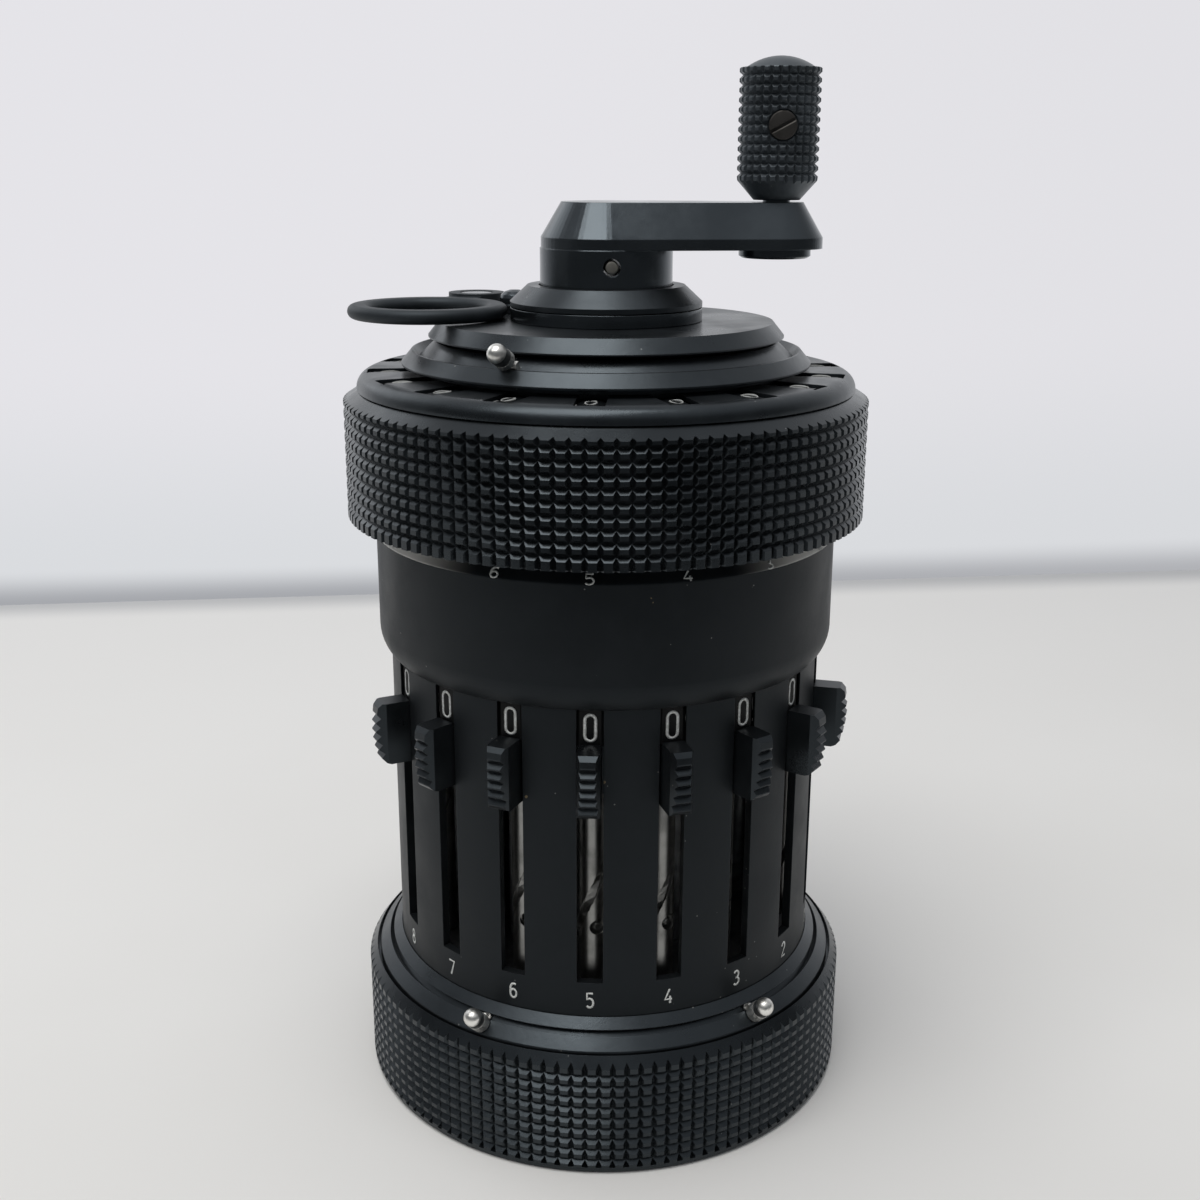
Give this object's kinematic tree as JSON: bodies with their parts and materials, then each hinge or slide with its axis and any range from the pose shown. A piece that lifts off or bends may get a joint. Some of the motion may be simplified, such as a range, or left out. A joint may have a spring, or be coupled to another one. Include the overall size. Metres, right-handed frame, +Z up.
{
  "type": "mechanical calculator",
  "caption": "Pocket cylinder calculator with slotted setting sliders, knurled base and carriage rings, top crank, clearing lever with finger ring and decimal markers.",
  "frame": {"origin": "centre of the base plate's underside, on the main shaft's axis, at floor level", "axes": "+Z up along the main shaft, -Y towards the middle of the eight setting slots, +X to the right of a user facing them"},
  "size_m": [0.0536, 0.0536, 0.1075],
  "materials": {
    "black_enamel": "satin black enamel",
    "inner_black": "matt black",
    "dial_black": "gloss black, figures engraved and filled white",
    "steel": "turned steel",
    "silver": "polished nickel silver",
    "brass": "turned brass"
  },
  "bodies": {
    "frame": {"base_plate": "inner_black", "base_ring": "black_enamel", "marker_track": "black_enamel", "body_tube": "black_enamel", "collar": "black_enamel", "lower_bearing": "steel", "upper_bearing": "steel", "transmission_shafts": "steel"},
    "slider_1": {"slider_1": "black_enamel"},
    "setting_shaft_1": {"setting_shaft_1": "steel"},
    "slider_2": {"slider_2": "black_enamel"},
    "setting_shaft_2": {"setting_shaft_2": "steel"},
    "slider_3": {"slider_3": "black_enamel"},
    "setting_shaft_3": {"setting_shaft_3": "steel"},
    "slider_4": {"slider_4": "black_enamel"},
    "setting_shaft_4": {"setting_shaft_4": "steel"},
    "slider_5": {"slider_5": "black_enamel"},
    "setting_shaft_5": {"setting_shaft_5": "steel"},
    "slider_6": {"slider_6": "black_enamel"},
    "setting_shaft_6": {"setting_shaft_6": "steel"},
    "slider_7": {"slider_7": "black_enamel"},
    "setting_shaft_7": {"setting_shaft_7": "steel"},
    "slider_8": {"slider_8": "black_enamel"},
    "setting_shaft_8": {"setting_shaft_8": "steel"},
    "carriage_sleeve": {"carriage_sleeve": "brass"},
    "carriage": {"carriage_frame": "inner_black", "carriage_ring": "black_enamel", "window_plate": "black_enamel", "marker_groove_ring": "black_enamel", "crank_boss": "black_enamel"},
    "clearing_lever": {"clearing_disc": "black_enamel", "clearing_lever": "black_enamel"},
    "finger_ring": {"finger_ring": "black_enamel"},
    "upper_marker": {"upper_marker": "silver"},
    "lower_marker_left": {"lower_marker_left": "silver"},
    "lower_marker_right": {"lower_marker_right": "silver"},
    "reversing_lever": {"reversing_lever": "black_enamel"},
    "result_dial_1": {"result_dial_1": "dial_black"},
    "result_dial_2": {"result_dial_2": "dial_black"},
    "result_dial_3": {"result_dial_3": "dial_black"},
    "result_dial_4": {"result_dial_4": "dial_black"},
    "result_dial_5": {"result_dial_5": "dial_black"},
    "result_dial_6": {"result_dial_6": "dial_black"},
    "result_dial_7": {"result_dial_7": "dial_black"},
    "result_dial_8": {"result_dial_8": "dial_black"},
    "result_dial_9": {"result_dial_9": "dial_black"},
    "result_dial_10": {"result_dial_10": "dial_black"},
    "result_dial_11": {"result_dial_11": "dial_black"},
    "counter_dial_1": {"counter_dial_1": "dial_black"},
    "counter_dial_2": {"counter_dial_2": "dial_black"},
    "counter_dial_3": {"counter_dial_3": "dial_black"},
    "counter_dial_4": {"counter_dial_4": "dial_black"},
    "counter_dial_5": {"counter_dial_5": "dial_black"},
    "counter_dial_6": {"counter_dial_6": "dial_black"},
    "lift_bush": {"lift_bush": "brass"},
    "crank": {"main_shaft": "steel", "step_drum": "steel", "crank_arm": "black_enamel", "handle_spindle": "steel"},
    "handle_grip": {"handle_grip": "black_enamel"}
  },
  "joints": [
    {"name": "slider_1_slide", "type": "slide", "parent": "frame", "child": "slider_1", "axis": [0, 0, -1], "range_m": [0, 0.018]},
    {"name": "setting_shaft_1_turn", "type": "hinge", "parent": "frame", "child": "setting_shaft_1", "pos_m": [0.01828, -0.00665, 0.03], "axis": [0, 0, 1], "range_deg": [0, 325]},
    {"name": "slider_2_slide", "type": "slide", "parent": "frame", "child": "slider_2", "axis": [0, 0, -1], "range_m": [0, 0.018]},
    {"name": "setting_shaft_2_turn", "type": "hinge", "parent": "frame", "child": "setting_shaft_2", "pos_m": [0.0149, -0.0125, 0.03], "axis": [0, 0, 1], "range_deg": [0, 325]},
    {"name": "slider_3_slide", "type": "slide", "parent": "frame", "child": "slider_3", "axis": [0, 0, -1], "range_m": [0, 0.018]},
    {"name": "setting_shaft_3_turn", "type": "hinge", "parent": "frame", "child": "setting_shaft_3", "pos_m": [0.00972, -0.01684, 0.03], "axis": [0, 0, 1], "range_deg": [0, 325]},
    {"name": "slider_4_slide", "type": "slide", "parent": "frame", "child": "slider_4", "axis": [0, 0, -1], "range_m": [0, 0.018]},
    {"name": "setting_shaft_4_turn", "type": "hinge", "parent": "frame", "child": "setting_shaft_4", "pos_m": [0.00338, -0.01915, 0.03], "axis": [0, 0, 1], "range_deg": [0, 325]},
    {"name": "slider_5_slide", "type": "slide", "parent": "frame", "child": "slider_5", "axis": [0, 0, -1], "range_m": [0, 0.018]},
    {"name": "setting_shaft_5_turn", "type": "hinge", "parent": "frame", "child": "setting_shaft_5", "pos_m": [-0.00338, -0.01915, 0.03], "axis": [0, 0, 1], "range_deg": [0, 325]},
    {"name": "slider_6_slide", "type": "slide", "parent": "frame", "child": "slider_6", "axis": [0, 0, -1], "range_m": [0, 0.018]},
    {"name": "setting_shaft_6_turn", "type": "hinge", "parent": "frame", "child": "setting_shaft_6", "pos_m": [-0.00972, -0.01684, 0.03], "axis": [0, 0, 1], "range_deg": [0, 325]},
    {"name": "slider_7_slide", "type": "slide", "parent": "frame", "child": "slider_7", "axis": [0, 0, -1], "range_m": [0, 0.018]},
    {"name": "setting_shaft_7_turn", "type": "hinge", "parent": "frame", "child": "setting_shaft_7", "pos_m": [-0.0149, -0.0125, 0.03], "axis": [0, 0, 1], "range_deg": [0, 325]},
    {"name": "slider_8_slide", "type": "slide", "parent": "frame", "child": "slider_8", "axis": [0, 0, -1], "range_m": [0, 0.018]},
    {"name": "setting_shaft_8_turn", "type": "hinge", "parent": "frame", "child": "setting_shaft_8", "pos_m": [-0.01828, -0.00665, 0.03], "axis": [0, 0, 1], "range_deg": [0, 325]},
    {"name": "carriage_lift", "type": "slide", "parent": "frame", "child": "carriage_sleeve", "axis": [0, 0, 1], "range_m": [0, 0.0035]},
    {"name": "carriage_turn", "type": "hinge", "parent": "carriage_sleeve", "child": "carriage", "pos_m": [0, 0, 0.075], "axis": [0, 0, 1], "range_deg": [-100, 0]},
    {"name": "clearing_turn", "type": "hinge", "parent": "carriage", "child": "clearing_lever", "pos_m": [0, 0, 0.082], "axis": [0, 0, 1], "continuous": true},
    {"name": "finger_ring_fold", "type": "hinge", "parent": "clearing_lever", "child": "finger_ring", "pos_m": [-0.01276, 0.01153, 0.0834], "axis": [0, 0, 1], "range_deg": [-116, 0]},
    {"name": "upper_marker_slide_round", "type": "hinge", "parent": "carriage", "child": "upper_marker", "pos_m": [0, 0, 0.08], "axis": [0, 0, 1], "continuous": true},
    {"name": "lower_marker_left_slide_round", "type": "hinge", "parent": "frame", "child": "lower_marker_left", "pos_m": [0, 0, 0.0144], "axis": [0, 0, 1], "range_deg": [-110, 25]},
    {"name": "lower_marker_right_slide_round", "type": "hinge", "parent": "frame", "child": "lower_marker_right", "pos_m": [0, 0, 0.0144], "axis": [0, 0, 1], "range_deg": [-25, 110]},
    {"name": "reversing_lever_slide", "type": "slide", "parent": "frame", "child": "reversing_lever", "axis": [0, 0, -1], "range_m": [0, 0.0035]},
    {"name": "result_dial_1_spin", "type": "hinge", "parent": "carriage", "child": "result_dial_1", "pos_m": [0.01889, -0.00687, 0.07413], "axis": [0.9397, -0.342, 0], "continuous": true},
    {"name": "result_dial_2_spin", "type": "hinge", "parent": "carriage", "child": "result_dial_2", "pos_m": [0.0154, -0.01292, 0.07413], "axis": [0.766, -0.6428, 0], "continuous": true},
    {"name": "result_dial_3_spin", "type": "hinge", "parent": "carriage", "child": "result_dial_3", "pos_m": [0.01005, -0.01741, 0.07413], "axis": [0.5, -0.866, 0], "continuous": true},
    {"name": "result_dial_4_spin", "type": "hinge", "parent": "carriage", "child": "result_dial_4", "pos_m": [0.00349, -0.01979, 0.07413], "axis": [0.1736, -0.9848, 0], "continuous": true},
    {"name": "result_dial_5_spin", "type": "hinge", "parent": "carriage", "child": "result_dial_5", "pos_m": [-0.00349, -0.01979, 0.07413], "axis": [-0.1736, -0.9848, 0], "continuous": true},
    {"name": "result_dial_6_spin", "type": "hinge", "parent": "carriage", "child": "result_dial_6", "pos_m": [-0.01005, -0.01741, 0.07413], "axis": [-0.5, -0.866, 0], "continuous": true},
    {"name": "result_dial_7_spin", "type": "hinge", "parent": "carriage", "child": "result_dial_7", "pos_m": [-0.0154, -0.01292, 0.07413], "axis": [-0.766, -0.6428, 0], "continuous": true},
    {"name": "result_dial_8_spin", "type": "hinge", "parent": "carriage", "child": "result_dial_8", "pos_m": [-0.01889, -0.00687, 0.07413], "axis": [-0.9397, -0.342, 0], "continuous": true},
    {"name": "result_dial_9_spin", "type": "hinge", "parent": "carriage", "child": "result_dial_9", "pos_m": [-0.0201, 0, 0.07413], "axis": [-1, 0, 0], "continuous": true},
    {"name": "result_dial_10_spin", "type": "hinge", "parent": "carriage", "child": "result_dial_10", "pos_m": [-0.01889, 0.00687, 0.07413], "axis": [-0.9397, 0.342, 0], "continuous": true},
    {"name": "result_dial_11_spin", "type": "hinge", "parent": "carriage", "child": "result_dial_11", "pos_m": [-0.0154, 0.01292, 0.07413], "axis": [-0.766, 0.6428, 0], "continuous": true},
    {"name": "counter_dial_1_spin", "type": "hinge", "parent": "carriage", "child": "counter_dial_1", "pos_m": [0.0201, 0, 0.07413], "axis": [1, 0, 0], "continuous": true},
    {"name": "counter_dial_2_spin", "type": "hinge", "parent": "carriage", "child": "counter_dial_2", "pos_m": [0.01889, 0.00687, 0.07413], "axis": [0.9397, 0.342, 0], "continuous": true},
    {"name": "counter_dial_3_spin", "type": "hinge", "parent": "carriage", "child": "counter_dial_3", "pos_m": [0.0154, 0.01292, 0.07413], "axis": [0.766, 0.6428, 0], "continuous": true},
    {"name": "counter_dial_4_spin", "type": "hinge", "parent": "carriage", "child": "counter_dial_4", "pos_m": [0.01005, 0.01741, 0.07413], "axis": [0.5, 0.866, 0], "continuous": true},
    {"name": "counter_dial_5_spin", "type": "hinge", "parent": "carriage", "child": "counter_dial_5", "pos_m": [0.00349, 0.01979, 0.07413], "axis": [0.1736, 0.9848, 0], "continuous": true},
    {"name": "counter_dial_6_spin", "type": "hinge", "parent": "carriage", "child": "counter_dial_6", "pos_m": [-0.00349, 0.01979, 0.07413], "axis": [-0.1736, 0.9848, 0], "continuous": true},
    {"name": "crank_lift", "type": "slide", "parent": "frame", "child": "lift_bush", "axis": [0, 0, 1], "range_m": [0, 0.003]},
    {"name": "crank_turn", "type": "hinge", "parent": "lift_bush", "child": "crank", "pos_m": [0, 0, 0.05], "axis": [0, 0, 1], "continuous": true},
    {"name": "handle_grip_spin", "type": "hinge", "parent": "crank", "child": "handle_grip", "pos_m": [0.01679, -0.00194, 0.1], "axis": [0, 0, 1], "continuous": true}
  ],
  "couplings": [
    {"joint": "setting_shaft_1_turn", "follows": "slider_1_slide", "rad_per_m": 314.16},
    {"joint": "setting_shaft_2_turn", "follows": "slider_2_slide", "rad_per_m": 314.16},
    {"joint": "setting_shaft_3_turn", "follows": "slider_3_slide", "rad_per_m": 314.16},
    {"joint": "setting_shaft_4_turn", "follows": "slider_4_slide", "rad_per_m": 314.16},
    {"joint": "setting_shaft_5_turn", "follows": "slider_5_slide", "rad_per_m": 314.16},
    {"joint": "setting_shaft_6_turn", "follows": "slider_6_slide", "rad_per_m": 314.16},
    {"joint": "setting_shaft_7_turn", "follows": "slider_7_slide", "rad_per_m": 314.16},
    {"joint": "setting_shaft_8_turn", "follows": "slider_8_slide", "rad_per_m": 314.16}
  ]
}
